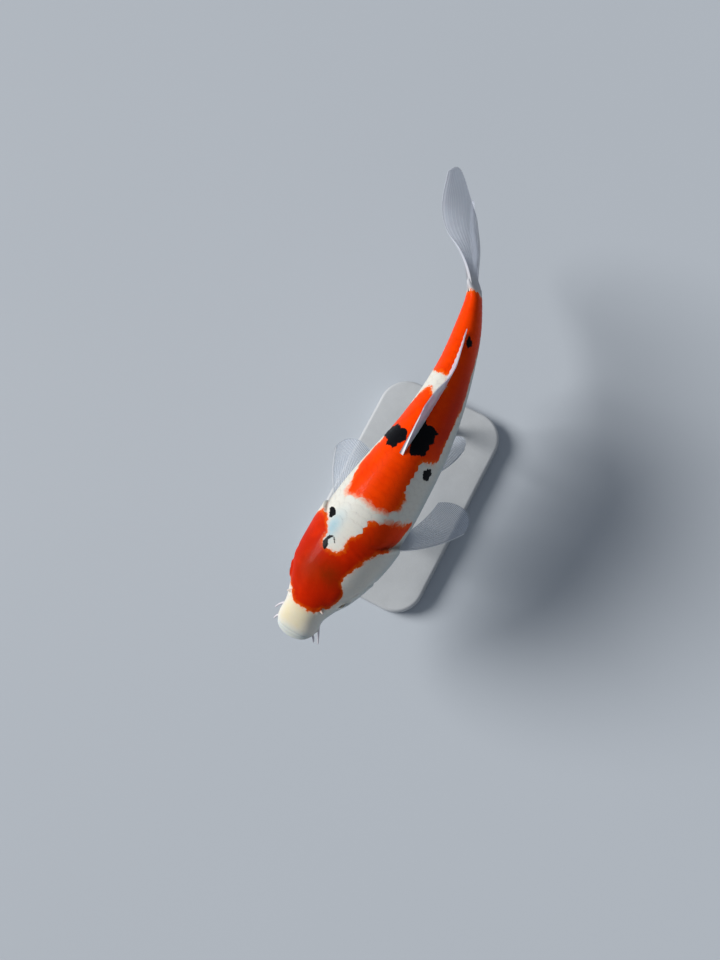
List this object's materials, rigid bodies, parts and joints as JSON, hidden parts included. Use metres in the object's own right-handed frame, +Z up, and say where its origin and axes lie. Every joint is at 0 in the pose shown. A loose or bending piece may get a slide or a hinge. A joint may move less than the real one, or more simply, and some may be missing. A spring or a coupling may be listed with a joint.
{
  "type": "koi carp model on display stand",
  "caption": "Life-size still model of a swimming Sanke koi carp, body curved with the tail swept to its right, held above a flat rounded base by short rods.",
  "frame": {"origin": "middle of the stand's underside, on the floor", "axes": "+Z up, +Y from the fish's snout to its tail along the straight line between them, +X towards the fish's left side"},
  "size_m": [0.1201, 0.3395, 0.1641],
  "materials": {
    "head": "orange-red and cream skin, satin wet sheen",
    "lower_jaw": "cream skin, satin",
    "gill_cover_left": "white skin over bone, satin",
    "gill_cover_right": "white and orange-red skin over bone, satin",
    "trunk": "white skin with orange-red and black markings, scaled, satin wet sheen",
    "tail_stalk": "orange-red scaled skin, satin wet sheen",
    "eye_left": "clear glossy eye with a dark pupil",
    "eye_right": "clear glossy eye with a dark pupil",
    "dorsal_fin": "translucent white fin with a thick front ray",
    "anal_fin": "translucent white fin",
    "caudal_fin_upper": "translucent white fin",
    "caudal_fin_lower": "translucent white fin",
    "pectoral_fin_left": "translucent white fin",
    "pelvic_fin_left": "translucent white fin",
    "pectoral_fin_right": "translucent white fin",
    "pelvic_fin_right": "translucent white fin",
    "barbel_long_left": "cream skin",
    "barbel_short_left": "cream skin",
    "barbel_long_right": "cream skin",
    "barbel_short_right": "cream skin",
    "stand_base": "pale grey satin composite",
    "stand_rod_front": "brushed stainless steel",
    "stand_rod_rear": "brushed stainless steel"
  },
  "bodies": {
    "root": {"head": "head", "lower_jaw": "lower_jaw", "gill_cover_left": "gill_cover_left", "gill_cover_right": "gill_cover_right", "trunk": "trunk", "tail_stalk": "tail_stalk", "eye_left": "eye_left", "eye_right": "eye_right", "dorsal_fin": "dorsal_fin", "anal_fin": "anal_fin", "caudal_fin_upper": "caudal_fin_upper", "caudal_fin_lower": "caudal_fin_lower", "pectoral_fin_left": "pectoral_fin_left", "pelvic_fin_left": "pelvic_fin_left", "pectoral_fin_right": "pectoral_fin_right", "pelvic_fin_right": "pelvic_fin_right", "barbel_long_left": "barbel_long_left", "barbel_short_left": "barbel_short_left", "barbel_long_right": "barbel_long_right", "barbel_short_right": "barbel_short_right", "stand_base": "stand_base", "stand_rod_front": "stand_rod_front", "stand_rod_rear": "stand_rod_rear"}
  },
  "joints": []
}
